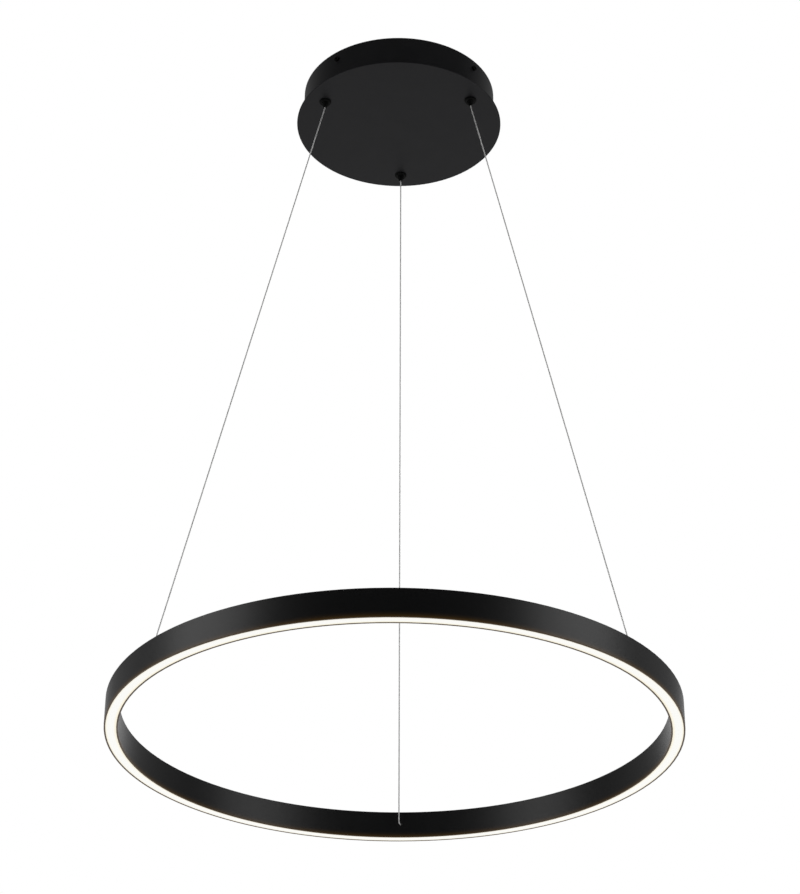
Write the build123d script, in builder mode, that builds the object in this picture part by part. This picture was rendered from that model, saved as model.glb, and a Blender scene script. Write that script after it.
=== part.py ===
from build123d import *
import math
import os

# LED pendant light: a thin glowing ring on three wires under a round ceiling rose.
# Millimetres, +Z up. The origin is on the ceiling, on the lamp's axis.
# The photograph is taken from the -Y side, from below.

# Ring: an inverted channel, open below, that holds the LED boards and the diffuser
ring_diameter = 600.0
ring_width = 14.5
ring_height = 30.0
ring_wall = 1.7
ring_edge = 0.35
ring_drop = 835.0
ledge_width = 1.0
ledge_thickness = 1.0
board_ledge_height = 10.0

# Diffuser: an opal strip that snaps into a groove in each wall
diffuser_recess = 0.4
diffuser_thickness = 2.0
diffuser_gap = 0.1
barb_width = 0.45
barb_height = 1.0
barb_rise = 0.5
groove_gap = 0.1

# LED boards
board_count = 4
board_thickness = 1.2
board_side_gap = 0.2
board_end_gap = 1.0
chips_per_board = 30
chip_length = 3.5
chip_width = 2.8
chip_height = 0.7

# Ceiling rose: drum and face plate
canopy_height = 43.0
plate_diameter = 244.0
plate_thickness = 1.5
plate_edge = 0.5
drum_diameter = 228.0
drum_wall = 1.2
drum_corner = 2.5
ceiling_gap = 0.5

# Ceiling bracket: a pressed cross with an ear bent down at the end of each arm
bracket_azimuth = 52.0
bracket_width = 22.0
bracket_thickness = 1.5
bracket_bend = 2.5
bracket_fit = 0.3
hub_diameter = 60.0
ear_height = 18.0
ear_corner = 3.0
ceiling_slot_spacing = 70.0
ceiling_slot_length = 16.0
ceiling_slot_width = 5.0
ceiling_lug_width = 16.0
supply_hole_diameter = 16.0

# Side screws
side_screw_count = 4
side_screw_drop = 12.0
side_screw_diameter = 4.0
side_screw_length = 6.0
side_screw_head_diameter = 6.0
side_screw_head_height = 2.2
side_screw_socket = 2.5
side_screw_socket_depth = 1.2

# Wire grips
grip_azimuths = {"rear": 90.0, "left": 210.0, "right": 330.0}
grip_circle_diameter = 198.0
grip_flange_diameter = 14.0
grip_flange_thickness = 2.4
grip_flange_crown = 1.6
grip_nose_base = 7.4
grip_nose_tip = 5.8
grip_nose_length = 3.6
grip_stem_diameter = 10.0
grip_stem_length = 26.0
grip_stem_wall = 1.3
cap_head_thickness = 1.5
cap_spigot_length = 3.0
cap_head_inset = 0.3
washer_diameter = 16.0
washer_thickness = 0.8
nut_across_flats = 14.0
nut_thickness = 3.0

# Release plunger with its ball cage
plunger_diameter = 4.4
plunger_tip_diameter = 3.2
plunger_projection = 2.6
plunger_bore = 2.0
plunger_collar_thickness = 1.5
plunger_neck_length = 3.0
plunger_travel = 2.5
ball_diameter = 2.0
ball_count = 3
ball_level = 1.6
cone_half_angle = 8.0
spring_wire = 0.8
spring_turns = 7

# Suspension wires
wire_diameter = 1.4
wire_top_margin = 1.0
grip_bend_radius = 8.0
grip_bend_depth = 1.0
ring_bend_radius = 4.2
ring_bend_standoff = 0.3
wire_hole_height = 15.0
stop_diameter = 3.0
stop_length = 5.0
bush_diameter = 3.2
bush_flange_diameter = 5.4
bush_flange_thickness = 1.0
ferrule_diameter = 3.0
ferrule_length = 5.0

# LED driver
driver_length = 128.0
driver_width = 42.0
driver_height = 25.0
driver_base_height = 15.0
driver_corner = 3.0
driver_lid_chamfer = 2.0
driver_place_y = 32.0
driver_lug_length = 10.0
driver_lug_thickness = 2.0
driver_outlet_diameter = 7.0
driver_outlet_depth = 5.0
driver_stud_diameter = 4.0

# Mains terminal block
terminal_poles = 3
terminal_pitch = 10.0
terminal_width = 20.0
terminal_height = 15.0
terminal_shoulder_height = 9.0
terminal_tower_width = 12.0
terminal_pole_groove = 2.0
terminal_groove_depth = 7.0
terminal_place_y = -32.0
terminal_lug_length = 8.0
terminal_lug_thickness = 3.0
terminal_stud_diameter = 3.0
clamp_diameter = 5.0
clamp_bore = 3.4
clamp_length = 16.0
clamp_level = 5.0
clamp_screw_diameter = 2.5
clamp_screw_spacing = 7.0
clamp_screw_recess = 1.0
clamp_screw_slot_width = 0.5
clamp_screw_slot_depth = 0.8

# Earth stud
earth_stud_diameter = 4.0
earth_place_x = -42.0
earth_place_y = -18.0
earth_washer_diameter = 9.0
earth_washer_thickness = 0.8

# Nuts on studs: ratios are multiples of the thread's diameter
nut_flats_ratio = 1.75
nut_thickness_ratio = 0.8
stud_end_length = 1.5

# Clearances
thread_gap = 0.05
hole_gap = 0.2
running_gap = 0.1
ball_gap = 0.05
seat_gap = 0.05

# Heights and radii that follow from the sizes above
ring_bottom = -ring_drop
ring_top = ring_bottom + ring_height
ring_outer = ring_diameter / 2
ring_inner = ring_outer - ring_width
channel_outer = ring_outer - ring_wall
channel_inner = ring_inner + ring_wall
channel_middle = (channel_outer + channel_inner) / 2
channel_width = ring_width - 2 * ring_wall
board_top = ring_bottom + board_ledge_height
diffuser_bottom = ring_bottom + diffuser_recess
barb_bottom = diffuser_bottom + barb_rise
wire_hole_z = ring_bottom + wire_hole_height

plate_bottom = -canopy_height
plate_top = plate_bottom + plate_thickness
floor_top = plate_top + drum_wall
drum_outer = drum_diameter / 2
drum_inner = drum_outer - drum_wall
ear_outer = math.sqrt((drum_inner - bracket_fit) ** 2 - (bracket_width / 2) ** 2)
ear_inner = ear_outer - bracket_thickness

grip_radius = grip_circle_diameter / 2
flange_bottom = plate_bottom - grip_flange_thickness
nose_end = flange_bottom - grip_nose_length
tip_end = nose_end - plunger_projection
stem_top = plate_bottom + grip_stem_length
stem_radius = grip_stem_diameter / 2
chamber_radius = stem_radius - grip_stem_wall
cap_top = stem_top + cap_head_thickness
cap_bottom = stem_top - cap_spigot_length
washer_top = floor_top + washer_thickness

wire_radius = wire_diameter / 2
ball_radius = ball_diameter / 2
ball_circle = wire_radius + ball_gap + ball_radius
ball_z = plate_bottom + ball_level
cone_slope = math.tan(math.radians(cone_half_angle))
cone_at_balls = ball_circle + (ball_radius + ball_gap) / math.cos(math.radians(cone_half_angle))
cone_bottom = ball_z - ball_diameter
cone_top = ball_z + ball_diameter + plunger_travel
cone_bottom_radius = cone_at_balls + (cone_bottom - ball_z) * cone_slope
cone_top_radius = cone_at_balls + (cone_top - ball_z) * cone_slope
plunger_radius = plunger_diameter / 2
collar_bottom = cone_top + seat_gap
collar_top = collar_bottom + plunger_collar_thickness
collar_radius = chamber_radius - running_gap
neck_top = collar_top + plunger_neck_length
spring_radius = chamber_radius - running_gap - spring_wire / 2
spring_inner = spring_radius - spring_wire / 2
spring_bottom = collar_top + seat_gap + spring_wire / 2
spring_top = cap_bottom - seat_gap - spring_wire / 2

# The wire: down the grip's axis, slanting to the ring, then through the ring's inner wall.
# In the vertical plane of a wire, x is the distance from the lamp's axis and y is the height.
bend_start_x = ring_inner - ring_bend_standoff


def wire_corners():
    """The two corners of the wire's route, and its slant from the vertical, in radians."""
    grip_corner_y = tip_end + grip_bend_depth
    slant = 0.0
    for _ in range(30):
        setback = ring_bend_radius * math.tan((math.pi / 2 - slant) / 2)
        ring_corner_x = bend_start_x - setback
        slant = math.atan2(ring_corner_x - grip_radius, grip_corner_y - wire_hole_z)
    return (grip_radius, grip_corner_y), (ring_corner_x, wire_hole_z), slant


grip_corner, ring_corner, wire_slant = wire_corners()
grip_setback = grip_bend_radius * math.tan(wire_slant / 2)
ring_setback = ring_bend_radius * math.tan((math.pi / 2 - wire_slant) / 2)
slant_x = math.sin(wire_slant)
slant_y = -math.cos(wire_slant)
span_start = (grip_corner[0] + grip_setback * slant_x, grip_corner[1] + grip_setback * slant_y)
span_end = (ring_corner[0] - ring_setback * slant_x, ring_corner[1] - ring_setback * slant_y)
span_length = math.dist(span_start, span_end)
stop_bottom = cap_top
stop_top = stop_bottom + stop_length
tail_top = stop_top + wire_top_margin
bush_end = channel_inner + bush_flange_thickness
ferrule_end = bush_end + ferrule_length
wire_end_x = ferrule_end + wire_top_margin

driver_stud_x = driver_length / 2 + driver_lug_length / 2
terminal_length = terminal_poles * terminal_pitch
terminal_stud_x = terminal_length / 2 + terminal_lug_length / 2


def upright_plane(azimuth):
    """The vertical plane through the lamp's axis at an azimuth: x points outwards, y up."""
    a = math.radians(azimuth)
    return Plane(origin=(0, 0, 0), x_dir=(math.cos(a), math.sin(a), 0), z_dir=(math.sin(a), -math.cos(a), 0))


def outward_plane(azimuth, radius, height):
    """A plane square to the radius at an azimuth, facing outwards from the lamp's axis."""
    a = math.radians(azimuth)
    origin = (radius * math.cos(a), radius * math.sin(a), height)
    return Plane(origin=origin, x_dir=(-math.sin(a), math.cos(a), 0), z_dir=(math.cos(a), math.sin(a), 0))


def grip_place(azimuth):
    """The point on the lamp's grip circle at an azimuth."""
    a = math.radians(azimuth)
    return (grip_radius * math.cos(a), grip_radius * math.sin(a))


def grip_axis(azimuth):
    """The upright axis of the grip at an azimuth."""
    x, y = grip_place(azimuth)
    return Axis((x, y, 0), (0, 0, 1))


def spring_knots(x, y):
    """The point and direction at each half turn of a grip spring, around the upright axis at (x, y)."""
    half_rise = (spring_top - spring_bottom) / (2 * spring_turns)
    knots = []
    for step in range(2 * spring_turns + 1):
        side = (-1) ** step
        point = Vector(x + side * spring_radius, y, spring_bottom + step * half_rise)
        direction = Vector(0, side * math.pi * spring_radius, half_rise).normalized()
        knots.append((point, direction))
    return knots


def biarc_joint(start, start_direction, end, end_direction):
    """Where two arcs meet that lead smoothly from one point and direction to another."""
    chord = end - start
    along = chord.dot(start_direction + end_direction)
    lean = 2 * (1 - start_direction.dot(end_direction))
    reach = (math.sqrt(along**2 + lean * chord.dot(chord)) - along) / lean
    return (start + end + (start_direction - end_direction) * reach) / 2


def save(piece, name):
    """Label a finished piece and write its STEP file."""
    piece.part.label = name
    export_step(piece.part, f"parts/{name}.step")


def hex_nuts(places, base, thread_diameter, across_flats, thickness):
    """Hexagon nuts of one size, standing on one level."""
    with BuildPart() as nuts:
        with BuildSketch(Plane.XY.offset(base)):
            with Locations(*places):
                RegularPolygon(across_flats / 2, 6, major_radius=False)
                Circle(thread_diameter / 2 + thread_gap, mode=Mode.SUBTRACT)
        extrude(amount=thickness)
    return nuts


def stud_nuts(places, base, thread_diameter):
    """Hexagon nuts on welded studs, in proportion to the thread."""
    across_flats = nut_flats_ratio * thread_diameter
    return hex_nuts(places, base, thread_diameter, across_flats, nut_thickness_ratio * thread_diameter)


def stud_height(thread_diameter, seat_thickness):
    """A welded stud's height: what it holds, its nut and a free end."""
    return seat_thickness + nut_thickness_ratio * thread_diameter + stud_end_length


os.makedirs("parts", exist_ok=True)

grip_places = [grip_place(azimuth) for azimuth in grip_azimuths.values()]
driver_studs = [(side * driver_stud_x, driver_place_y) for side in (-1, 1)]
terminal_studs = [(side * terminal_stud_x, terminal_place_y) for side in (-1, 1)]
earth_stud = [(earth_place_x, earth_place_y)]
screw_azimuths = [bracket_azimuth + k * 360 / side_screw_count for k in range(side_screw_count)]

# Ring channel with ledges for the boards, snap grooves for the diffuser and three wire holes
with BuildPart() as ring_profile:
    with BuildSketch(Plane.XZ):
        with Locations(((ring_inner + ring_outer) / 2, ring_bottom)):
            section = Rectangle(ring_width, ring_height, align=(Align.CENTER, Align.MIN))
        fillet(section.vertices(), ring_edge)
        with Locations((channel_middle, ring_bottom)):
            Rectangle(channel_width, ring_height - ring_wall, align=(Align.CENTER, Align.MIN), mode=Mode.SUBTRACT)
        with Locations((channel_inner, board_top)):
            Rectangle(ledge_width, ledge_thickness, align=(Align.MIN, Align.MIN))
        with Locations((channel_outer, board_top)):
            Rectangle(ledge_width, ledge_thickness, align=(Align.MAX, Align.MIN))
        with Locations((channel_middle, barb_bottom - groove_gap)):
            Rectangle(
                channel_width + 2 * (barb_width - diffuser_gap + groove_gap),
                barb_height + 2 * groove_gap,
                align=(Align.CENTER, Align.MIN),
                mode=Mode.SUBTRACT,
            )
    revolve(axis=Axis.Z)
    for azimuth in grip_azimuths.values():
        with BuildSketch(outward_plane(azimuth, ring_inner - ring_wall, wire_hole_z)):
            Circle(bush_diameter / 2 + thread_gap)
        extrude(amount=3 * ring_wall, mode=Mode.SUBTRACT)
save(ring_profile, "ring_profile")

# Opal diffuser with a barb along each edge
with BuildPart() as ring_diffuser:
    with BuildSketch(Plane.XZ):
        with Locations((channel_middle, diffuser_bottom)):
            Rectangle(channel_width - 2 * diffuser_gap, diffuser_thickness, align=(Align.CENTER, Align.MIN))
        with Locations((channel_middle, barb_bottom)):
            Rectangle(
                channel_width + 2 * (barb_width - diffuser_gap), barb_height, align=(Align.CENTER, Align.MIN)
            )
    revolve(axis=Axis.Z)
save(ring_diffuser, "ring_diffuser")

# LED boards: equal arcs under the ledges, each with its row of chips
board_arc = 360 / board_count
end_gap_angle = math.degrees(board_end_gap / channel_middle)
chip_step = (board_arc - end_gap_angle) / chips_per_board
for index in range(board_count):
    first_angle = index * board_arc + end_gap_angle / 2
    with BuildPart() as led_board:
        with BuildSketch(upright_plane(first_angle)):
            with Locations((channel_middle, board_top)):
                Rectangle(
                    channel_width - 2 * board_side_gap, board_thickness, align=(Align.CENTER, Align.MAX)
                )
        revolve(axis=Axis.Z, revolution_arc=board_arc - end_gap_angle)
        with BuildSketch(Plane.XY.offset(board_top - board_thickness)):
            with PolarLocations(
                channel_middle,
                chips_per_board,
                start_angle=first_angle + chip_step / 2,
                angular_range=chips_per_board * chip_step,
            ):
                Rectangle(chip_width, chip_length)
        extrude(amount=-chip_height)
    save(led_board, f"led_board_{index + 1}")

# Insulating bushes in the wire holes, flanged on the inside of the channel
with BuildPart() as wire_bushes:
    for azimuth in grip_azimuths.values():
        with BuildSketch(outward_plane(azimuth, ring_inner, wire_hole_z)):
            Circle(bush_diameter / 2)
        extrude(amount=ring_wall)
        with BuildSketch(outward_plane(azimuth, channel_inner, wire_hole_z)):
            Circle(bush_flange_diameter / 2)
        extrude(amount=bush_flange_thickness)
        with BuildSketch(outward_plane(azimuth, ring_inner, wire_hole_z)):
            Circle(wire_radius + thread_gap)
        extrude(amount=ring_wall + bush_flange_thickness, mode=Mode.SUBTRACT)
save(wire_bushes, "wire_bushes")

# Crimped ferrules that keep the wires in the ring
with BuildPart() as wire_ferrules:
    for azimuth in grip_azimuths.values():
        with BuildSketch(outward_plane(azimuth, bush_end, wire_hole_z)):
            Circle(ferrule_diameter / 2)
            Circle(wire_radius + thread_gap, mode=Mode.SUBTRACT)
        extrude(amount=ferrule_length)
save(wire_ferrules, "wire_ferrules")

# Lower wire ends: a tight bend at the wall, then straight through bush and ferrule
for side, azimuth in grip_azimuths.items():
    with BuildPart() as wire_end:
        with BuildLine(upright_plane(azimuth)) as end_route:
            bend = JernArc(span_end, (slant_x, slant_y), ring_bend_radius, 90 - math.degrees(wire_slant))
            Line(bend @ 1, (wire_end_x, wire_hole_z))
        with BuildSketch(Plane(origin=end_route.line @ 0, z_dir=end_route.line % 0)):
            Circle(wire_radius)
        sweep(path=end_route.line)
    save(wire_end, f"wire_end_{side}")

# Free spans of the suspension wires
for side, azimuth in grip_azimuths.items():
    plane = upright_plane(azimuth)
    top = plane.from_local_coords((span_start[0], span_start[1], 0))
    foot = plane.from_local_coords((span_end[0], span_end[1], 0))
    with BuildPart() as suspension_wire:
        with BuildSketch(Plane(origin=top, z_dir=foot - top)):
            Circle(wire_radius)
        extrude(amount=span_length)
    save(suspension_wire, f"suspension_wire_{side}")

# Upper wire ends: straight through the grip, with a slight bend at its mouth
for side, azimuth in grip_azimuths.items():
    with BuildPart() as wire_tail:
        with BuildLine(upright_plane(azimuth)) as tail_route:
            drop = Line((grip_radius, tail_top), (grip_radius, grip_corner[1] + grip_setback))
            JernArc(drop @ 1, (0, -1), grip_bend_radius, math.degrees(wire_slant))
        with BuildSketch(Plane(origin=tail_route.line @ 0, z_dir=tail_route.line % 0)):
            Circle(wire_radius)
        sweep(path=tail_route.line)
    save(wire_tail, f"wire_tail_{side}")

# Crimped end stops on top of the grips, which set the lowest height of the ring
with BuildPart() as wire_stops:
    with BuildSketch(Plane.XY.offset(stop_bottom)):
        with Locations(*grip_places):
            Circle(stop_diameter / 2)
            Circle(wire_radius + thread_gap, mode=Mode.SUBTRACT)
    extrude(amount=stop_length)
save(wire_stops, "wire_stops")

# Wire grips: body with a ball cone, cap, spring, plunger and balls
for side, azimuth in grip_azimuths.items():
    plane = upright_plane(azimuth)
    axis = grip_axis(azimuth)
    x, y = grip_place(azimuth)

    with BuildPart() as grip_body:
        with BuildSketch(plane):
            with BuildLine():
                Polyline(
                    (grip_radius + plunger_radius + running_gap, nose_end),
                    (grip_radius + grip_nose_tip / 2, nose_end),
                    (grip_radius + grip_nose_base / 2, flange_bottom),
                    (grip_radius + grip_flange_diameter / 2, flange_bottom),
                    (grip_radius + grip_flange_diameter / 2, plate_bottom),
                    (grip_radius + stem_radius, plate_bottom),
                    (grip_radius + stem_radius, stem_top),
                    (grip_radius + chamber_radius, stem_top),
                    (grip_radius + chamber_radius, cone_top),
                    (grip_radius + cone_top_radius, cone_top),
                    (grip_radius + cone_bottom_radius, cone_bottom),
                    (grip_radius + plunger_radius + running_gap, cone_bottom),
                    close=True,
                )
            make_face()
        revolve(axis=axis)
        rim = grip_body.edges().filter_by(GeomType.CIRCLE).filter_by(
            lambda edge: edge.radius > stem_radius and edge.center().Z < plate_bottom - seat_gap
        )
        fillet(rim, grip_flange_crown)
    save(grip_body, f"grip_body_{side}")

    with BuildPart() as grip_cap:
        with BuildSketch(Plane.XY.offset(stem_top)):
            with Locations((x, y)):
                Circle(stem_radius - cap_head_inset)
        extrude(amount=cap_head_thickness)
        with BuildSketch(Plane.XY.offset(stem_top)):
            with Locations((x, y)):
                Circle(chamber_radius - thread_gap)
        extrude(amount=-cap_spigot_length)
        with BuildSketch(Plane.XY.offset(cap_top)):
            with Locations((x, y)):
                Circle(plunger_bore / 2)
        extrude(amount=cap_bottom - cap_top, mode=Mode.SUBTRACT)
    save(grip_cap, f"grip_cap_{side}")

    knots = spring_knots(x, y)
    with BuildPart() as grip_spring:
        with BuildLine() as coil:
            for (start, start_direction), (end, end_direction) in zip(knots, knots[1:]):
                joint = biarc_joint(start, start_direction, end, end_direction)
                first_arc = TangentArc(start, joint, tangent=start_direction)
                TangentArc(joint, end, tangent=first_arc % 1)
        with BuildSketch(Plane(origin=coil.line @ 0, z_dir=coil.line % 0)):
            Circle(spring_wire / 2)
        sweep(path=coil.line)
    save(grip_spring, f"grip_spring_{side}")

    with BuildPart() as grip_plunger:
        with BuildSketch(plane):
            with BuildLine():
                Polyline(
                    (grip_radius + plunger_bore / 2, tip_end),
                    (grip_radius + plunger_tip_diameter / 2, tip_end),
                    (grip_radius + plunger_radius, nose_end),
                    (grip_radius + plunger_radius, collar_bottom),
                    (grip_radius + collar_radius, collar_bottom),
                    (grip_radius + collar_radius, collar_top),
                    (grip_radius + spring_inner - running_gap, collar_top),
                    (grip_radius + spring_inner - running_gap, neck_top),
                    (grip_radius + plunger_bore / 2, neck_top),
                    close=True,
                )
            make_face()
        revolve(axis=axis)
        for k in range(ball_count):
            turn = math.radians(azimuth + k * 360 / ball_count)
            outwards = (math.cos(turn), math.sin(turn), 0)
            with BuildSketch(Plane(origin=(x, y, ball_z), z_dir=outwards)):
                Circle(ball_radius + ball_gap)
            extrude(amount=collar_radius, mode=Mode.SUBTRACT)
    save(grip_plunger, f"grip_plunger_{side}")

    with BuildPart() as grip_balls:
        with Locations(Plane(origin=(x, y, ball_z), x_dir=plane.x_dir, z_dir=(0, 0, 1))):
            with PolarLocations(ball_circle, ball_count):
                Sphere(ball_radius)
    save(grip_balls, f"grip_balls_{side}")

# Washers and nuts on the grips, which clamp the face plate to the drum
with BuildPart() as grip_washers:
    with BuildSketch(Plane.XY.offset(floor_top)):
        with Locations(*grip_places):
            Circle(washer_diameter / 2)
            Circle(stem_radius + hole_gap, mode=Mode.SUBTRACT)
    extrude(amount=washer_thickness)
save(grip_washers, "grip_washers")

grip_nuts = hex_nuts(grip_places, washer_top, grip_stem_diameter, nut_across_flats, nut_thickness)
save(grip_nuts, "grip_nuts")

# Face plate
with BuildPart() as canopy_face_plate:
    with BuildSketch(Plane.XY.offset(plate_bottom)):
        Circle(plate_diameter / 2)
        with Locations(*grip_places):
            Circle(stem_radius + hole_gap, mode=Mode.SUBTRACT)
    extrude(amount=plate_thickness)
    outer_rim = canopy_face_plate.edges().filter_by(GeomType.CIRCLE).sort_by(SortBy.RADIUS)[-2:]
    fillet(outer_rim.sort_by(Axis.Z)[0], plate_edge)
save(canopy_face_plate, "canopy_face_plate")

# Drum: a pressed cup with welded studs on its floor
with BuildPart() as canopy_drum:
    with BuildSketch(Plane.XY.offset(plate_top)):
        Circle(drum_outer)
    extrude(amount=-ceiling_gap - plate_top)
    fillet(canopy_drum.edges().group_by(Axis.Z)[0], drum_corner)
    offset(amount=-drum_wall, openings=canopy_drum.faces().sort_by(Axis.Z)[-1])
    with BuildSketch(Plane.XY.offset(plate_top)):
        with Locations(*grip_places):
            Circle(stem_radius + hole_gap)
    extrude(amount=drum_wall, mode=Mode.SUBTRACT)
    for azimuth in screw_azimuths:
        with BuildSketch(outward_plane(azimuth, ear_inner, -side_screw_drop)):
            Circle(side_screw_diameter / 2 + hole_gap)
        extrude(amount=drum_outer - ear_inner + drum_wall, mode=Mode.SUBTRACT)
    with BuildSketch(Plane.XY.offset(floor_top)):
        with Locations(*driver_studs):
            Circle(driver_stud_diameter / 2)
    extrude(amount=stud_height(driver_stud_diameter, driver_lug_thickness))
    with BuildSketch(Plane.XY.offset(floor_top)):
        with Locations(*terminal_studs):
            Circle(terminal_stud_diameter / 2)
    extrude(amount=stud_height(terminal_stud_diameter, terminal_lug_thickness))
    with BuildSketch(Plane.XY.offset(floor_top)):
        with Locations(*earth_stud):
            Circle(earth_stud_diameter / 2)
    extrude(amount=stud_height(earth_stud_diameter, earth_washer_thickness))
save(canopy_drum, "canopy_drum")

# Ceiling bracket: hub, lugs with ceiling slots along X, and four arms with bent ears
with BuildPart() as ceiling_bracket:
    with BuildSketch(Plane.XY):
        Circle(hub_diameter / 2)
        with Locations((0, 0)):
            SlotOverall(ceiling_slot_spacing + ceiling_slot_length + ceiling_lug_width, ceiling_lug_width)
    extrude(amount=-bracket_thickness)
    for azimuth in screw_azimuths:
        with BuildSketch(upright_plane(azimuth)):
            with BuildLine():
                FilletPolyline(
                    (0, 0),
                    (ear_outer, 0),
                    (ear_outer, -ear_height),
                    (ear_inner, -ear_height),
                    (ear_inner, -bracket_thickness),
                    (0, -bracket_thickness),
                    radius=[0, bracket_bend, 0, 0, bracket_bend - bracket_thickness, 0],
                    close=True,
                )
            make_face()
        extrude(amount=bracket_width / 2, both=True)
    ear_ends = ceiling_bracket.edges().group_by(Axis.Z)[0].group_by(SortBy.LENGTH)[0]
    fillet(ear_ends, ear_corner)
    for azimuth in screw_azimuths:
        with BuildSketch(outward_plane(azimuth, ear_inner - bracket_thickness, -side_screw_drop)):
            Circle(side_screw_diameter / 2 + thread_gap)
        extrude(amount=3 * bracket_thickness, mode=Mode.SUBTRACT)
    with BuildSketch(Plane.XY):
        Circle(supply_hole_diameter / 2)
        with GridLocations(ceiling_slot_spacing, 0, 2, 1):
            SlotOverall(ceiling_slot_length, ceiling_slot_width)
    extrude(amount=-bracket_thickness, mode=Mode.SUBTRACT)
save(ceiling_bracket, "ceiling_bracket")

# Side screws: socket heads outside the drum, threads in the bracket's ears
with BuildPart() as side_screws:
    for azimuth in screw_azimuths:
        seat = drum_outer
        with BuildSketch(outward_plane(azimuth, seat, -side_screw_drop)):
            Circle(side_screw_diameter / 2)
        extrude(amount=-side_screw_length)
        with BuildSketch(outward_plane(azimuth, seat, -side_screw_drop)):
            Circle(side_screw_head_diameter / 2)
        extrude(amount=side_screw_head_height)
        with BuildSketch(outward_plane(azimuth, seat + side_screw_head_height, -side_screw_drop)):
            RegularPolygon(side_screw_socket / 2, 6, major_radius=False)
        extrude(amount=-side_screw_socket_depth, mode=Mode.SUBTRACT)
save(side_screws, "side_screws")

# LED driver: base with a fixing lug and a lead outlet at each end, and its lid
with BuildPart() as driver_base:
    with BuildSketch(Plane.XY.offset(floor_top)):
        with Locations((0, driver_place_y)):
            RectangleRounded(driver_length, driver_width, driver_corner)
    extrude(amount=driver_base_height)
    with BuildSketch(Plane.XY.offset(floor_top)):
        with Locations(*driver_studs):
            RectangleRounded(driver_lug_length + 2 * driver_corner, driver_width / 2, driver_corner)
        with Locations(*driver_studs):
            Circle(driver_stud_diameter / 2 + hole_gap, mode=Mode.SUBTRACT)
    extrude(amount=driver_lug_thickness)
    for direction in (-1, 1):
        end = (direction * driver_length / 2, driver_place_y, floor_top + driver_base_height / 2)
        with BuildSketch(Plane(origin=end, z_dir=(-direction, 0, 0))):
            Circle(driver_outlet_diameter / 2)
        extrude(amount=driver_outlet_depth, mode=Mode.SUBTRACT)
save(driver_base, "driver_base")

with BuildPart() as driver_lid:
    with BuildSketch(Plane.XY.offset(floor_top + driver_base_height)):
        with Locations((0, driver_place_y)):
            RectangleRounded(driver_length, driver_width, driver_corner)
    extrude(amount=driver_height - driver_base_height)
    chamfer(driver_lid.faces().sort_by(Axis.Z)[-1].edges(), driver_lid_chamfer)
save(driver_lid, "driver_lid")

driver_nuts = stud_nuts(driver_studs, floor_top + driver_lug_thickness, driver_stud_diameter)
save(driver_nuts, "driver_nuts")

# Terminal block: stepped insulator with a tower for each pole, and a fixing lug at each end
clamp_z = floor_top + clamp_level
pole_places = [
    ((k - (terminal_poles - 1) / 2) * terminal_pitch, terminal_place_y) for k in range(terminal_poles)
]
clamp_screw_places = [
    (pole_x, pole_y + half * clamp_screw_spacing / 2) for pole_x, pole_y in pole_places for half in (-1, 1)
]
with BuildPart() as terminal_block:
    with BuildSketch(Plane.YZ.offset(-terminal_length / 2)):
        with Locations((terminal_place_y, floor_top)):
            Rectangle(terminal_width, terminal_shoulder_height, align=(Align.CENTER, Align.MIN))
            Rectangle(terminal_tower_width, terminal_height, align=(Align.CENTER, Align.MIN))
    extrude(amount=terminal_length)
    with BuildSketch(Plane.XY.offset(floor_top + terminal_height)):
        with Locations((0, terminal_place_y)):
            with GridLocations(terminal_pitch, 0, terminal_poles - 1, 1):
                Rectangle(terminal_pole_groove, terminal_width)
    extrude(amount=-terminal_groove_depth, mode=Mode.SUBTRACT)
    with BuildSketch(Plane.XY.offset(floor_top)):
        with Locations(*terminal_studs):
            Rectangle(terminal_lug_length, terminal_width / 2)
        with Locations(*terminal_studs):
            Circle(terminal_stud_diameter / 2 + hole_gap, mode=Mode.SUBTRACT)
    extrude(amount=terminal_lug_thickness)
    for pole_x, pole_y in pole_places:
        with BuildSketch(Plane.XZ.offset(-pole_y - terminal_width / 2)):
            with Locations((pole_x, clamp_z)):
                Circle(clamp_diameter / 2 + thread_gap)
        extrude(amount=terminal_width, mode=Mode.SUBTRACT)
    with BuildSketch(Plane.XY.offset(floor_top + terminal_height)):
        with Locations(*clamp_screw_places):
            Circle(clamp_screw_diameter / 2 + hole_gap)
    extrude(amount=clamp_level - terminal_height, mode=Mode.SUBTRACT)
save(terminal_block, "terminal_block")

# Brass clamps in the poles, tapped for their screws
with BuildPart() as terminal_clamps:
    for pole_x, pole_y in pole_places:
        with BuildSketch(Plane.XZ.offset(-pole_y - clamp_length / 2)):
            with Locations((pole_x, clamp_z)):
                Circle(clamp_diameter / 2)
                Circle(clamp_bore / 2, mode=Mode.SUBTRACT)
        extrude(amount=clamp_length)
    with BuildSketch(Plane.XY.offset(clamp_z)):
        with Locations(*clamp_screw_places):
            Circle(clamp_screw_diameter / 2 + thread_gap)
    extrude(amount=clamp_diameter, mode=Mode.SUBTRACT)
save(terminal_clamps, "terminal_clamps")

# Slotted clamp screws, down to the top of the clamps' bores
clamp_screw_top = floor_top + terminal_height - clamp_screw_recess
with BuildPart() as terminal_screws:
    with BuildSketch(Plane.XY.offset(clamp_screw_top)):
        with Locations(*clamp_screw_places):
            Circle(clamp_screw_diameter / 2)
    extrude(amount=clamp_z + clamp_bore / 2 - clamp_screw_top)
    with BuildSketch(Plane.XY.offset(clamp_screw_top)):
        with Locations(*clamp_screw_places):
            Rectangle(clamp_screw_diameter, clamp_screw_slot_width)
    extrude(amount=-clamp_screw_slot_depth, mode=Mode.SUBTRACT)
save(terminal_screws, "terminal_screws")

terminal_nuts = stud_nuts(terminal_studs, floor_top + terminal_lug_thickness, terminal_stud_diameter)
save(terminal_nuts, "terminal_nuts")

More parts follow.
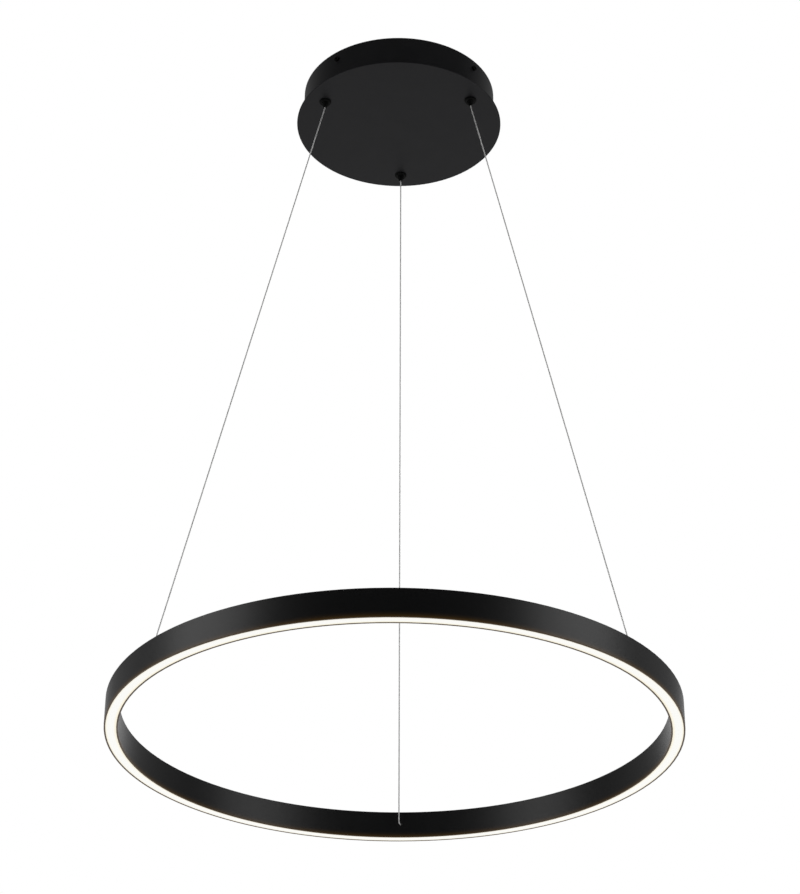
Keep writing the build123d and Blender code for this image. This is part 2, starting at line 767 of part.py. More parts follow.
# Earth washer and nut on the drum's earth stud
with BuildPart() as earth_washer:
    with BuildSketch(Plane.XY.offset(floor_top)):
        with Locations(*earth_stud):
            Circle(earth_washer_diameter / 2)
            Circle(earth_stud_diameter / 2 + hole_gap, mode=Mode.SUBTRACT)
    extrude(amount=earth_washer_thickness)
save(earth_washer, "earth_washer")

earth_nut = stud_nuts(earth_stud, floor_top + earth_washer_thickness, earth_stud_diameter)
save(earth_nut, "earth_nut")

wire_length = (
    tail_top - grip_corner[1] - grip_setback
    + grip_bend_radius * wire_slant
    + span_length
    + ring_bend_radius * (math.pi / 2 - wire_slant)
    + wire_end_x - bend_start_x
)
print(f"wire slant {math.degrees(wire_slant):.2f} degrees, free span {span_length:.1f}, whole {wire_length:.1f}")
print(f"wire bends: radius {grip_bend_radius} at the grip, {ring_bend_radius} at the ring")
spring_pitch = (spring_top - spring_bottom) / spring_turns
spring_lead = math.atan2(spring_pitch, 2 * math.pi * spring_radius)
print(f"spring turns {spring_turns}, gap between turns {spring_pitch * math.cos(spring_lead) - spring_wire:.2f}")
print(f"span from x {span_start[0]:.3f} z {span_start[1]:.3f} to x {span_end[0]:.3f} z {span_end[1]:.3f}")
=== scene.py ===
# LED ring pendant light: the finishes, wires, screw threads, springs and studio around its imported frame.
import bpy
import bmesh
import math
from mathutils import Matrix, Vector


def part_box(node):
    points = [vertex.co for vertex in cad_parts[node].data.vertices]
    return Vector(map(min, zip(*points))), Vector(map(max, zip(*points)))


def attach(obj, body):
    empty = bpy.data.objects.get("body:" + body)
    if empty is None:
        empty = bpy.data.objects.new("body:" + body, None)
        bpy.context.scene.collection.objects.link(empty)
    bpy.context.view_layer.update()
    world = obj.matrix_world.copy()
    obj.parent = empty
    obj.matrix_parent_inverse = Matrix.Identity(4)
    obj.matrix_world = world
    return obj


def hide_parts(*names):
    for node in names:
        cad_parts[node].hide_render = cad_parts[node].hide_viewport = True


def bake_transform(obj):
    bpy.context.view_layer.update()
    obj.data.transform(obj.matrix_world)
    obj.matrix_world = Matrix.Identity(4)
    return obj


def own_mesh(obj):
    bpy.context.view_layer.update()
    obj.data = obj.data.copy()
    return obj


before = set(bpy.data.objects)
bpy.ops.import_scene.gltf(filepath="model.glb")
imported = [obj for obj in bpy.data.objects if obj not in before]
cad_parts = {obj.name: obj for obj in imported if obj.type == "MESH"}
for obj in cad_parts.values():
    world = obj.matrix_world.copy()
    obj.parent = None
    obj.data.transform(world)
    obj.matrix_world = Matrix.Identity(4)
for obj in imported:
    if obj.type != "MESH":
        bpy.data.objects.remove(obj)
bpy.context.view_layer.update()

# Azimuth of each wire and its grip about the lamp's axis, in degrees
SIDES = {"rear": 90.0, "left": 210.0, "right": 330.0}

# The ring's boards, and its lower and upper edges, in metres as every length here
BOARD_COUNT = 4
RING_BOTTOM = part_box("ring_profile")[0].z
RING_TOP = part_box("ring_profile")[1].z

# The wire's diameter, and its route in its own upright plane: distance from the lamp's axis, and height
WIRE_DIAMETER = 0.0014
WIRE_ROUTE = [
    (0.0990, -0.0095),
    (0.0990, -0.0434),
    (0.0990, -0.0506),
    (0.1007, -0.0576),
    (0.2799, -0.8118),
    (0.2819, -0.8200),
    (0.2860, -0.8200),
    (0.2942, -0.8200),
]

# The heights between which the wire is straight, and the fineness of its line and its tube
WIRE_STRAIGHT_TOP = -0.0585
WIRE_STRAIGHT_FOOT = -0.8110
WIRE_LINE_STEPS = 12
WIRE_SIDES = 12

# The wire's strands, and the length in which one goes once round
WIRE_STRANDS = 6
WIRE_LAY_LENGTH = 0.014

# How far each wire leans along the ring at its foot, and the points of its route that lean
WIRE_LEAN = {"rear": 0.0024, "left": 0.0, "right": -0.0024}
LEANING_POINTS = (4, 5)

# Threads of the hollow grip stems and the welded studs: sizes, the studs' places and their free ends
STEM_RADIUS = 0.005
STEM_PITCH = 0.001
LARGE_STUD_RADIUS = 0.002
LARGE_STUD_PITCH = 0.0007
SMALL_STUD_RADIUS = 0.0015
SMALL_STUD_PITCH = 0.0005
DRIVER_STUDS = [(-0.069, 0.032), (0.069, 0.032)]
EARTH_STUD = [(-0.042, -0.018)]
TERMINAL_STUDS = [(-0.019, -0.032), (0.019, -0.032)]
STUD_END_LENGTH = 0.0013

# A thread's ridge: its sink into the shank and its half height, both in pitches, and its section's sides
THREAD_SINK = 0.1
THREAD_RIDGE = 0.3
THREAD_SIDES = 4

# Coil springs of the grips, and the steps in one turn of any helix
SPRING_WIRE = 0.0008
SPRING_TURNS = 7
SPRING_SIDES = 10
HELIX_STEPS = 32

# The lit diffuser: its width, the half width that glows evenly, and its light
CHANNEL_WIDTH = 0.0111
EVEN_GLOW_HALF = 0.0025
GLOW_STRENGTH = 0.805
GLOW_MIDDLE = (1.0, 0.998, 0.965)
GLOW_EDGE = (1.0, 0.93, 0.74)

# A painted warm glow on the ring's lower edges, standing in for the light that spills from it over them
PAINTED_SPILL_HEIGHT = 0.008
PAINTED_SPILL_STRENGTH = 0.037
PAINTED_SPILL_POWER = 3.0
PAINTED_SPILL_COLOUR = (1.0, 0.49, 0.04, 1)

# Grain of the finishes, in features per metre, and how much finer the metal's lines are across than along
COAT_CLOUDS = 35.0
COAT_GRAIN = 900.0
COAT_PEEL = 1500.0
METAL_LINES = 110.0
METAL_LINE_STRETCH = 16.0
METAL_GRAIN = 700.0
PLASTIC_CLOUDS = 60.0
PLASTIC_GRAIN = 2200.0

# The range that most values of a noise texture fall in
NOISE_LOW = 0.3
NOISE_HIGH = 0.7

# Camera, from a fit of the ring and rose outlines to the photograph's 800 x 894 frame
PHOTO_WIDTH = 800
PHOTO_HEIGHT = 894
FOCAL_PIXELS = 2373.9
SENSOR = 36.0
CAMERA_SIDE = 0.00382
CAMERA_BACK = -2.29254
CAMERA_BELOW_RING = 0.9456
CAMERA_PITCH = 0.51443
CAMERA_ROLL = 0.00617
CAMERA_TURN = math.radians(1.55)
CAMERA_REACH = 100.0

# Soft boxes, left and right: size, place from the lamp's axis, rise from the ring's lower edge, and power
BOX_WIDTH = 0.9
BOX_HEIGHT = 0.8
BOX_SIDE = 1.3
BOX_FRONT = -0.5
BOX_RISE = 0.62
BOX_WATTS = 5.8

# A wide lamp overhead that fills in the shade
FILL_SIZE = 3.0
FILL_HEIGHT = 2.5
FILL_WATTS = 50.0

# Brightness of the room in front, behind and overhead, and the directions over which each part fades in
ROOM_FRONT = 0.03
ROOM_REAR = 0.3
ROOM_CEILING = 1.0
REAR_FADE = (-0.1, 0.5)
CEILING_FADE = (0.8, 0.95)
BACKDROP_FADE = (0.74, 0.9)

# Floor: its level, half its width, its own tone, and the light that makes it look pale
FLOOR_Z = -4.6
FLOOR_HALF = 60.0
FLOOR_TONE = 0.5
FLOOR_GLOW = 0.65


def new_material(name):
    """A node material with its shader."""
    material = bpy.data.materials.new(name)
    material.use_nodes = True
    nodes = material.node_tree.nodes
    return material, nodes, material.node_tree.links, nodes["Principled BSDF"]


def object_coordinates(nodes):
    """The coordinate that stays with a piece's mesh."""
    return nodes.new("ShaderNodeTexCoord").outputs["Object"]


def noise(nodes, links, vector, scale, detail, roughness=0.5):
    """A noise texture's value on a coordinate, with its scale in features per metre."""
    texture = nodes.new("ShaderNodeTexNoise")
    texture.inputs["Scale"].default_value = scale
    texture.inputs["Detail"].default_value = detail
    texture.inputs["Roughness"].default_value = roughness
    links.new(vector, texture.inputs["Vector"])
    return texture.outputs["Fac"]


def map_range(nodes, links, value, low, high, to_low, to_high, smooth=False):
    """A value carried from one range to another."""
    node = nodes.new("ShaderNodeMapRange")
    if smooth:
        node.interpolation_type = "SMOOTHSTEP"
    node.inputs["From Min"].default_value = low
    node.inputs["From Max"].default_value = high
    node.inputs["To Min"].default_value = to_low
    node.inputs["To Max"].default_value = to_high
    links.new(value, node.inputs["Value"])
    return node.outputs["Result"]


def math_node(nodes, links, operation, first, second=None):
    """One arithmetic node; each operand is a socket or a number."""
    node = nodes.new("ShaderNodeMath")
    node.operation = operation
    for socket, operand in zip(node.inputs, (first, second)):
        if operand is None:
            continue
        if isinstance(operand, (int, float)):
            socket.default_value = operand
        else:
            links.new(operand, socket)
    return node.outputs["Value"]


def bump(nodes, links, shader, height, strength, distance):
    """Fine relief on a shader, from a height."""
    node = nodes.new("ShaderNodeBump")
    node.inputs["Strength"].default_value = strength
    node.inputs["Distance"].default_value = distance
    links.new(height, node.inputs["Height"])
    links.new(node.outputs["Normal"], shader.inputs["Normal"])


def ramp(nodes, links, value, low_colour, high_colour, low=0.0, high=1.0):
    """A colour between two, by a value."""
    node = nodes.new("ShaderNodeValToRGB")
    node.color_ramp.elements[0].position = low
    node.color_ramp.elements[0].color = (*low_colour, 1)
    node.color_ramp.elements[1].position = high
    node.color_ramp.elements[1].color = (*high_colour, 1)
    links.new(value, node.inputs["Fac"])
    return node.outputs["Color"]


def uneven_sheen(nodes, links, shader, grain, roughness, spread):
    """Roughness that changes a little with the grain."""
    smooth = roughness - spread
    dull = roughness + spread
    sheen = map_range(nodes, links, grain, NOISE_LOW, NOISE_HIGH, smooth, dull)
    links.new(sheen, shader.inputs["Roughness"])


def powder_coat(name, dark, light, roughness, gloss):
    """Satin powder coat: a fine even orange peel, and slight changes of depth and sheen."""
    material, nodes, links, shader = new_material(name)
    place = object_coordinates(nodes)
    clouds = noise(nodes, links, place, COAT_CLOUDS, detail=4.0)
    colour = ramp(nodes, links, clouds, dark, light, low=NOISE_LOW, high=NOISE_HIGH)
    links.new(colour, shader.inputs["Base Color"])
    grain = noise(nodes, links, place, COAT_GRAIN, detail=2.0)
    uneven_sheen(nodes, links, shader, grain, roughness, spread=0.04)
    shader.inputs["Specular IOR Level"].default_value = gloss
    peel = noise(nodes, links, place, COAT_PEEL, detail=2.0)
    bump(nodes, links, shader, peel, strength=0.12, distance=0.00008)
    return material, nodes, links, shader


def rose_coat():
    """The rose's powder coat, with a cooler sheen than the ring's."""
    material, _, _, shader = powder_coat(
        "rose black powder coat",
        dark=(0.0095, 0.0095, 0.0102),
        light=(0.0125, 0.0125, 0.0133),
        roughness=0.4,
        gloss=0.14,
    )
    shader.inputs["Specular Tint"].default_value = (0.95, 0.945, 1.0, 1)
    return material


def ring_coat_with_painted_glow():
    """The ring's powder coat, with a painted warm glow on its lower lips that stands in for the light
    spilling over them.
    """
    material, nodes, links, shader = powder_coat(
        "ring black powder coat",
        dark=(0.0055, 0.0055, 0.0058),
        light=(0.0075, 0.0075, 0.0078),
        roughness=0.38,
        gloss=0.3,
    )
    # Painted glow: the paint itself glows warm, strongest at the ring's lower edge and fading out over a few
    # millimetres above it
    axes = nodes.new("ShaderNodeSeparateXYZ")
    links.new(object_coordinates(nodes), axes.inputs["Vector"])
    rise = math_node(nodes, links, "SUBTRACT", axes.outputs["Z"], RING_BOTTOM)
    nearness = map_range(nodes, links, rise, 0.0, PAINTED_SPILL_HEIGHT, 1.0, 0.0)
    painted_spill = math_node(nodes, links, "POWER", nearness, PAINTED_SPILL_POWER)
    strength = math_node(nodes, links, "MULTIPLY", painted_spill, PAINTED_SPILL_STRENGTH)
    links.new(strength, shader.inputs["Emission Strength"])
    shader.inputs["Emission Color"].default_value = PAINTED_SPILL_COLOUR
    return material


def opal_glow():
    """The lit opal diffuser: nearly even warm white, a touch deeper in colour at its edges."""
    material, nodes, links, shader = new_material("opal diffuser, lit")
    axes = nodes.new("ShaderNodeSeparateXYZ")
    links.new(object_coordinates(nodes), axes.inputs["Vector"])
    across = math_node(nodes, links, "MULTIPLY", axes.outputs["X"], axes.outputs["X"])
    along = math_node(nodes, links, "MULTIPLY", axes.outputs["Y"], axes.outputs["Y"])
    radius = math_node(nodes, links, "SQRT", math_node(nodes, links, "ADD", across, along))
    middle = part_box("ring_diffuser")[1].x - CHANNEL_WIDTH / 2
    offset = math_node(nodes, links, "ABSOLUTE", math_node(nodes, links, "SUBTRACT", radius, middle))
    edge = map_range(nodes, links, offset, EVEN_GLOW_HALF, CHANNEL_WIDTH / 2, 0.0, 1.0, smooth=True)
    links.new(ramp(nodes, links, edge, GLOW_MIDDLE, GLOW_EDGE), shader.inputs["Emission Color"])
    shader.inputs["Emission Strength"].default_value = GLOW_STRENGTH
    shader.inputs["Base Color"].default_value = (0.5, 0.49, 0.46, 1)
    shader.inputs["Roughness"].default_value = 0.5
    return material


def plain_metal(name, dark, light, roughness):
    """Dull bare metal: fine lines of rolling or turning, and a slightly uneven sheen."""
    material, nodes, links, shader = new_material(name)
    place = object_coordinates(nodes)
    stretch = nodes.new("ShaderNodeMapping")
    stretch.inputs["Scale"].default_value = (1.0, METAL_LINE_STRETCH, METAL_LINE_STRETCH)
    links.new(place, stretch.inputs["Vector"])
    lines = noise(nodes, links, stretch.outputs["Vector"], METAL_LINES, detail=5.0, roughness=0.6)
    colour = ramp(nodes, links, lines, dark, light, low=NOISE_LOW, high=NOISE_HIGH)
    links.new(colour, shader.inputs["Base Color"])
    grain = noise(nodes, links, place, METAL_GRAIN, detail=3.0)
    uneven_sheen(nodes, links, shader, grain, roughness, spread=0.05)
    shader.inputs["Metallic"].default_value = 0.5
    bump(nodes, links, shader, lines, strength=0.1, distance=0.00004)
    return material


def moulded_plastic(name, dark, light, roughness):
    """Moulded plastic with a fine spark-eroded texture."""
    material, nodes, links, shader = new_material(name)
    place = object_coordinates(nodes)
    clouds = noise(nodes, links, place, PLASTIC_CLOUDS, detail=3.0)
    links.new(ramp(nodes, links, clouds, dark, light, low=0.35, high=0.65), shader.inputs["Base Color"])
    grain = noise(nodes, links, place, PLASTIC_GRAIN, detail=2.0)
    uneven_sheen(nodes, links, shader, grain, roughness, spread=0.05)
    bump(nodes, links, shader, grain, strength=0.1, distance=0.00006)
    return material


def wire_steel():
    """Stranded bright steel under a thin clear jacket: a slanting lay around the wire, with painted shade
    darkening the grooves between the strands.
    """
    material, nodes, links, shader = new_material("stranded suspension wire")
    lay = nodes.new("ShaderNodeUVMap")
    lay.uv_map = "lay"
    axes = nodes.new("ShaderNodeSeparateXYZ")
    links.new(lay.outputs["UV"], axes.inputs["Vector"])
    turns = math_node(nodes, links, "ADD", axes.outputs["X"], axes.outputs["Y"])
    phase = math_node(nodes, links, "MULTIPLY", turns, WIRE_STRANDS * 2 * math.pi)
    wave = math_node(nodes, links, "SINE", phase)
    # Painted shade: the base colour is darker in the lay's grooves, where the bump is low, and lighter on
    # the strands' crowns
    strand_and_groove_shade = map_range(nodes, links, wave, -1.0, 1.0, 0.0, 1.0)
    links.new(ramp(nodes, links, strand_and_groove_shade, (0.74, 0.74, 0.73), (0.9, 0.9, 0.89)), shader.inputs["Base Color"])
    shader.inputs["Metallic"].default_value = 0.2
    shader.inputs["Roughness"].default_value = 0.4
    shader.inputs["Coat Weight"].default_value = 0.3
    bump(nodes, links, shader, wave, strength=0.4, distance=0.00006)
    return material


def dress(material, *names):
    """Gives CAD nodes a finish in place of their plain slot."""
    for name in names:
        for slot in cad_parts[name].material_slots:
            slot.material = material


def on_each_side(stem):
    """The names of one kind of grip node on all three sides."""
    return [f"{stem}_{side}" for side in SIDES]


def dress_cad_nodes(zinc, black):
    """A finish for every CAD node that no other piece replaces."""
    crimp = plain_metal("crimped aluminium", (0.58, 0.58, 0.58), (0.68, 0.68, 0.68), roughness=0.4)
    brass = plain_metal("terminal brass", (0.62, 0.45, 0.2), (0.74, 0.56, 0.28), roughness=0.32)
    case = moulded_plastic("driver case white", (0.7, 0.7, 0.68), (0.76, 0.76, 0.74), roughness=0.5)
    cream = moulded_plastic("terminal cream", (0.66, 0.63, 0.54), (0.72, 0.69, 0.6), roughness=0.42)
    bush = moulded_plastic("bush black", (0.012, 0.012, 0.012), (0.018, 0.018, 0.018), roughness=0.5)
    board = moulded_plastic("board white mask", (0.78, 0.78, 0.76), (0.84, 0.84, 0.82), roughness=0.35)
    dress(rose_coat(), "canopy_drum", "canopy_face_plate")
    dress(ring_coat_with_painted_glow(), "ring_profile")
    dress(opal_glow(), "ring_diffuser")
    dress(black, "side_screws", *on_each_side("grip_body"))
    dress(black, *on_each_side("grip_cap"), *on_each_side("grip_plunger"))
    dress(zinc, "ceiling_bracket", "driver_nuts", "terminal_nuts", "terminal_screws")
    dress(zinc, "earth_nut", "earth_washer")
    dress(zinc, "grip_nuts", "grip_washers", *on_each_side("grip_balls"))
    dress(crimp, "wire_stops", "wire_ferrules")
    dress(brass, "terminal_clamps")
    dress(case, "driver_base", "driver_lid")
    dress(cream, "terminal_block")
    dress(bush, "wire_bushes")
    dress(board, *[f"led_board_{index}" for index in range(1, BOARD_COUNT + 1)])


def wire_line(side):
    """Points along the smooth line of one wire's route, read from its NURBS spline."""
    turn = math.radians(SIDES[side])
    outward = Vector((math.cos(turn), math.sin(turn), 0))
    along = Vector((-math.sin(turn), math.cos(turn), 0))
    curve = bpy.data.curves.new("wire route", "CURVE")
    curve.dimensions = "3D"
    curve.resolution_u = WIRE_LINE_STEPS
    spline = curve.splines.new("NURBS")
    spline.points.add(len(WIRE_ROUTE) - 1)
    for index, (point, (reach, height)) in enumerate(zip(spline.points, WIRE_ROUTE)):
        lean = WIRE_LEAN[side] if index in LEANING_POINTS else 0.0
        place = outward * reach + along * lean
        point.co = (place.x, place.y, height, 1)
    spline.order_u = 3
    spline.use_endpoint_u = True
    carrier = bpy.data.objects.new("wire route", curve)
    bpy.context.scene.collection.objects.link(carrier)
    bpy.context.view_layer.update()
    mesh = bpy.data.meshes.new_from_object(carrier.evaluated_get(bpy.context.evaluated_depsgraph_get()))
    points = [vertex.co.copy() for vertex in mesh.vertices]
    bpy.data.objects.remove(carrier)
    bpy.data.curves.remove(curve)
    bpy.data.meshes.remove(mesh)
    return points


def wire_tube(name, points, material):
    """A round tube along points, with its lay on a UV map: turns around it, and turns of lay along it."""
    mesh = bpy.data.meshes.new(name)
    build = bmesh.new()
    lay = build.loops.layers.uv.new("lay")
    rings = []
    travelled = [0.0]
    for first, second in zip(points, points[1:]):
        travelled.append(travelled[-1] + (second - first).length)
    across = Vector((-points[0].y, points[0].x, 0)).normalized()
    for index, point in enumerate(points):
        before = points[max(index - 1, 0)]
        after = points[min(index + 1, len(points) - 1)]
        forward = (after - before).normalized()
        up = across.cross(forward).normalized()
        level = forward.cross(up)
        ring = []
        for step in range(WIRE_SIDES):
            angle = 2 * math.pi * step / WIRE_SIDES
            offset = level * math.cos(angle) + up * math.sin(angle)
            ring.append(build.verts.new(point + offset * WIRE_DIAMETER / 2))
        rings.append(ring)
    for index, (low, high) in enumerate(zip(rings, rings[1:])):
        for step in range(WIRE_SIDES):
            beside = (step + 1) % WIRE_SIDES
            face = build.faces.new((low[step], low[beside], high[beside], high[step]))
            face.smooth = True
            turns = (step, step + 1, step + 1, step)
            lengths = (travelled[index], travelled[index], travelled[index + 1], travelled[index + 1])
            for loop, turn, length in zip(face.loops, turns, lengths):
                loop[lay].uv = (turn / WIRE_SIDES, length / WIRE_LAY_LENGTH)
    build.faces.new(list(reversed(rings[0])))
    build.faces.new(rings[-1])
    bmesh.ops.recalc_face_normals(build, faces=build.faces)
    build.to_mesh(mesh)
    build.free()
    mesh.materials.append(material)
    tube = bpy.data.objects.new(name, mesh)
    bpy.context.scene.collection.objects.link(tube)
    return tube


def hang_wires():
    """Three taut wires; each is straight between its grip and its bend above the ring."""
    steel = wire_steel()
    for side in SIDES:
        line = wire_line(side)
        upper = [point for point in line if point.z > WIRE_STRAIGHT_TOP]
        lower = [point for point in line if point.z < WIRE_STRAIGHT_FOOT]
        ends = upper + lower
        tube = wire_tube(f"wire_{side}", ends, steel)
        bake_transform(tube)
        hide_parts(f"wire_tail_{side}", f"suspension_wire_{side}", f"wire_end_{side}")


def helix_tree():
    """Geometry Nodes: a helix of solid section that stands on each point of a mesh."""
    tree = bpy.data.node_groups.new("helix on each point", "GeometryNodeTree")
    tree.interface.new_socket("Geometry", in_out="INPUT", socket_type="NodeSocketGeometry")
    for name in ("Radius", "Pitch", "Height", "Section"):
        tree.interface.new_socket(name, in_out="INPUT", socket_type="NodeSocketFloat")
    tree.interface.new_socket("Sides", in_out="INPUT", socket_type="NodeSocketInt")
    tree.interface.new_socket("Round", in_out="INPUT", socket_type="NodeSocketBool")
    tree.interface.new_socket("Finish", in_out="INPUT", socket_type="NodeSocketMaterial")
    tree.interface.new_socket("Geometry", in_out="OUTPUT", socket_type="NodeSocketGeometry")
    nodes = tree.nodes
    links = tree.links
    given = nodes.new("NodeGroupInput").outputs
    turns = nodes.new("ShaderNodeMath")
    turns.operation = "DIVIDE"
    links.new(given["Height"], turns.inputs[0])
    links.new(given["Pitch"], turns.inputs[1])
    helix = nodes.new("GeometryNodeCurveSpiral")
    helix.inputs["Resolution"].default_value = HELIX_STEPS
    links.new(turns.outputs["Value"], helix.inputs["Rotations"])
    links.new(given["Radius"], helix.inputs["Start Radius"])
    links.new(given["Radius"], helix.inputs["End Radius"])
    links.new(given["Height"], helix.inputs["Height"])
    upright = nodes.new("GeometryNodeSetCurveNormal")
    upright.mode = "Z_UP"
    links.new(helix.outputs["Curve"], upright.inputs["Curve"])
    section = nodes.new("GeometryNodeCurvePrimitiveCircle")
    links.new(given["Sides"], section.inputs["Resolution"])
    links.new(given["Section"], section.inputs["Radius"])
    sweep = nodes.new("GeometryNodeCurveToMesh")
    sweep.inputs["Fill Caps"].default_value = True
    links.new(upright.outputs["Curve"], sweep.inputs["Curve"])
    links.new(section.outputs["Curve"], sweep.inputs["Profile Curve"])
    shade = nodes.new("GeometryNodeSetShadeSmooth")
    links.new(sweep.outputs["Mesh"], shade.inputs["Geometry"])
    links.new(given["Round"], shade.inputs["Shade Smooth"])
    stand = nodes.new("GeometryNodeInstanceOnPoints")
    links.new(given["Geometry"], stand.inputs["Points"])
    links.new(shade.outputs["Geometry"], stand.inputs["Instance"])
    real = nodes.new("GeometryNodeRealizeInstances")
    links.new(stand.outputs["Instances"], real.inputs["Geometry"])
    finish = nodes.new("GeometryNodeSetMaterial")
    links.new(real.outputs["Geometry"], finish.inputs["Geometry"])
    links.new(given["Finish"], finish.inputs["Material"])
    result = nodes.new("NodeGroupOutput")
    links.new(finish.outputs["Geometry"], result.inputs["Geometry"])
    return tree


def wind_helix(name, tree, feet, values):
    """A plain mesh of helices with one set of sizes, one on each foot."""
    points = bpy.data.meshes.new(name + "_feet")
    points.from_pydata(feet, [], [])
    carrier = bpy.data.objects.new(name + "_feet", points)
    bpy.context.scene.collection.objects.link(carrier)
    modifier = carrier.modifiers.new("helices", "NODES")
    modifier.node_group = tree
    for item in tree.interface.items_tree:
        if item.in_out == "INPUT" and item.name in values:
            modifier[item.identifier] = values[item.name]
    bpy.context.view_layer.update()
    mesh = bpy.data.meshes.new_from_object(carrier.evaluated_get(bpy.context.evaluated_depsgraph_get()))
    bpy.data.objects.remove(carrier)
    bpy.data.meshes.remove(points)
    mesh.name = name
    winding = bpy.data.objects.new(name, mesh)
    bpy.context.scene.collection.objects.link(winding)
    return winding


def cut_threads(name, tree, feet, radius, pitch, length, finish):
    """Thread ridges of one size on the rose's stems or studs, with their crests just proud of the shank."""
    values = {
        "Radius": radius - pitch * THREAD_SINK,
        "Pitch": pitch,
        "Height": length,
        "Section": pitch * THREAD_RIDGE,
        "Sides": THREAD_SIDES,
        "Round": False,
        "Finish": finish,
    }
    threads = wind_helix(name, tree, feet, values)
    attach(threads, "canopy")


def thread_stems_and_studs(tree, zinc, black):
    """Threads above the nuts, inside the rose: on the grips' hollow stems and on the welded studs."""
    stem_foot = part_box("grip_nuts")[1].z
    stem_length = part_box("grip_body_rear")[1].z - stem_foot - STEM_PITCH / 2
    reach = WIRE_ROUTE[0][0]
    feet = []
    for azimuth in SIDES.values():
        turn = math.radians(azimuth)
        feet.append((reach * math.cos(turn), reach * math.sin(turn), stem_foot))
    cut_threads("stem_threads", tree, feet, STEM_RADIUS, STEM_PITCH, stem_length, black)
    for name, nuts, places, radius, pitch in (
        ("driver_stud_threads", "driver_nuts", DRIVER_STUDS, LARGE_STUD_RADIUS, LARGE_STUD_PITCH),
        ("earth_stud_threads", "earth_nut", EARTH_STUD, LARGE_STUD_RADIUS, LARGE_STUD_PITCH),
        ("terminal_stud_threads", "terminal_nuts", TERMINAL_STUDS, SMALL_STUD_RADIUS, SMALL_STUD_PITCH),
    ):
        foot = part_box(nuts)[1].z
        feet = [(x, y, foot) for x, y in places]
        cut_threads(name, tree, feet, radius, pitch, STUD_END_LENGTH, zinc)


def coil_grip_springs(tree, zinc):
    """The grips' coil springs, wound to the size of the CAD springs they replace; in the real grips they
    shorten against their caps as the plungers are pushed in.
    """
    for side in SIDES:
        low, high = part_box(f"grip_spring_{side}")
        middle = (low + high) / 2
        height = high.z - low.z - SPRING_WIRE
        values = {
            "Radius": (high.x - low.x - SPRING_WIRE) / 2,
            "Pitch": height / SPRING_TURNS,
            "Height": height,
            "Section": SPRING_WIRE / 2,
            "Sides": SPRING_SIDES,
            "Round": True,
            "Finish": zinc,
        }
        foot = (middle.x, middle.y, low.z + SPRING_WIRE / 2)
        spring = wind_helix(f"coil_spring_{side}", tree, [foot], values)
        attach(spring, "canopy")
        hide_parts(f"grip_spring_{side}")
        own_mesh(spring)


def set_world():
    """A dim room: a white backdrop behind the object, a bright ceiling, and darkness behind the camera."""
    world = bpy.data.worlds.new("studio")
    bpy.context.scene.world = world
    world.use_nodes = True
    nodes = world.node_tree.nodes
    links = world.node_tree.links
    nodes.clear()
    axes = nodes.new("ShaderNodeSeparateXYZ")
    links.new(nodes.new("ShaderNodeTexCoord").outputs["Generated"], axes.inputs["Vector"])
    rear = map_range(nodes, links, axes.outputs["Y"], *REAR_FADE, ROOM_FRONT, ROOM_REAR, smooth=True)
    ceiling = map_range(nodes, links, axes.outputs["Z"], *CEILING_FADE, 0.0, ROOM_CEILING, smooth=True)
    level = math_node(nodes, links, "MAXIMUM", rear, ceiling)
    backdrop = map_range(nodes, links, axes.outputs["Y"], *BACKDROP_FADE, 0.0, 1.0, smooth=True)
    ray = nodes.new("ShaderNodeLightPath")
    mirror = math_node(nodes, links, "ADD", ray.outputs["Is Glossy Ray"], ray.outputs["Is Transmission Ray"])
    mirrored = math_node(nodes, links, "MULTIPLY", mirror, backdrop)
    white = math_node(nodes, links, "MAXIMUM", ray.outputs["Is Camera Ray"], mirrored)
    strength = math_node(nodes, links, "MAXIMUM", level, white)
    background = nodes.new("ShaderNodeBackground")
    background.inputs["Color"].default_value = (1, 1, 1, 1)
    links.new(strength, background.inputs["Strength"])
    output = nodes.new("ShaderNodeOutputWorld")
    links.new(background.outputs["Background"], output.inputs["Surface"])


def hang_lamp(name, width, height, watts, place, target):
    """A soft rectangular lamp that the camera doesn't see."""
    lamp = bpy.data.lights.new(name, "AREA")
    lamp.shape = "RECTANGLE"
    lamp.size = width
    lamp.size_y = height
    lamp.energy = watts
    box = bpy.data.objects.new(name, lamp)
    box.location = place
    box.rotation_euler = (target - place).to_track_quat("-Z", "Y").to_euler()
    box.visible_camera = False
    bpy.context.scene.collection.objects.link(box)
    return box


def hang_lamps():
    """Two soft boxes give the ring's dark wall its broad sheens; the lamp overhead only fills in."""
    middle = Vector((0, 0, (RING_BOTTOM + RING_TOP) / 2))
    for side in (-1, 1):
        place = Vector((side * BOX_SIDE, BOX_FRONT, RING_BOTTOM + BOX_RISE))
        hang_lamp("soft box", BOX_WIDTH, BOX_HEIGHT, BOX_WATTS, place, middle)
    fill = hang_lamp("fill", FILL_SIZE, FILL_SIZE, FILL_WATTS, Vector((0, 0, FILL_HEIGHT)), middle)
    fill.visible_glossy = False


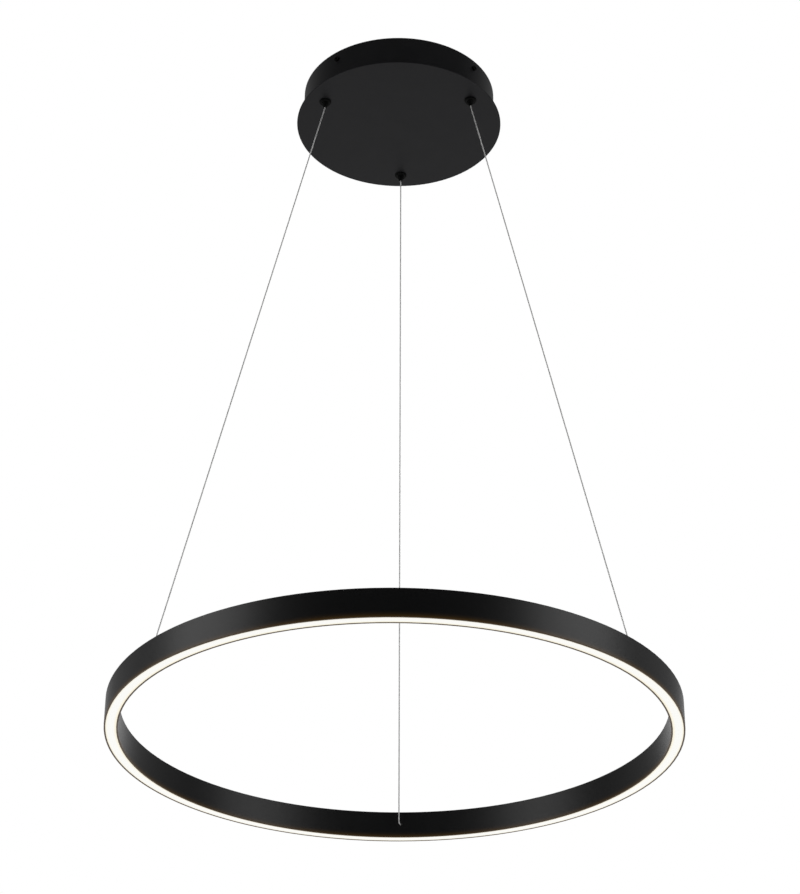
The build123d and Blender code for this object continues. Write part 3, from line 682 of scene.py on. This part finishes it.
def lay_floor():
    """A floor that keeps the object's shadow, and looks pale to the camera and in reflections."""
    mesh = bpy.data.meshes.new("floor")
    corners = [(x * FLOOR_HALF, y * FLOOR_HALF, FLOOR_Z) for x, y in ((-1, -1), (1, -1), (1, 1), (-1, 1))]
    mesh.from_pydata(corners, [], [(0, 1, 2, 3)])
    material, nodes, links, shader = new_material("pale floor")
    shader.inputs["Base Color"].default_value = (FLOOR_TONE, FLOOR_TONE, FLOOR_TONE, 1)
    shader.inputs["Roughness"].default_value = 0.9
    shader.inputs["Specular IOR Level"].default_value = 0.0
    ray = nodes.new("ShaderNodeLightPath")
    mirror = math_node(nodes, links, "ADD", ray.outputs["Is Glossy Ray"], ray.outputs["Is Transmission Ray"])
    seen = math_node(nodes, links, "MAXIMUM", ray.outputs["Is Camera Ray"], mirror)
    links.new(math_node(nodes, links, "MULTIPLY", seen, FLOOR_GLOW), shader.inputs["Emission Strength"])
    shader.inputs["Emission Color"].default_value = (1, 1, 1, 1)
    mesh.materials.append(material)
    floor = bpy.data.objects.new("floor", mesh)
    bpy.context.scene.collection.objects.link(floor)


def set_camera():
    """The photograph's view, from below: turned about the lamp's axis, pitched up, slightly rolled."""
    data = bpy.data.cameras.new("camera")
    data.sensor_width = SENSOR
    data.sensor_fit = "AUTO"
    data.lens = FOCAL_PIXELS * SENSOR / max(PHOTO_WIDTH, PHOTO_HEIGHT)
    data.clip_end = CAMERA_REACH
    camera = bpy.data.objects.new("camera", data)
    turn = Matrix.Rotation(CAMERA_TURN, 4, "Z")
    place = turn @ Vector((CAMERA_SIDE, CAMERA_BACK, RING_BOTTOM - CAMERA_BELOW_RING))
    pitch = Matrix.Rotation(math.pi / 2 + CAMERA_PITCH, 4, "X")
    roll = Matrix.Rotation(CAMERA_ROLL, 4, "Z")
    camera.matrix_world = Matrix.Translation(place) @ turn @ pitch @ roll
    bpy.context.scene.collection.objects.link(camera)
    bpy.context.scene.camera = camera


bpy.context.scene.view_settings.view_transform = "Standard"
set_camera()
set_world()
hang_lamps()
lay_floor()

zinc_plate = plain_metal("zinc plated steel", (0.58, 0.59, 0.61), (0.68, 0.69, 0.71), roughness=0.36)
black_fittings, _, _, _ = powder_coat(
    "black fittings", dark=(0.0025, 0.0025, 0.0025), light=(0.004, 0.004, 0.004), roughness=0.5, gloss=0.05
)
dress_cad_nodes(zinc_plate, black_fittings)
hang_wires()
helices = helix_tree()
thread_stems_and_studs(helices, zinc_plate, black_fittings)
coil_grip_springs(helices, zinc_plate)
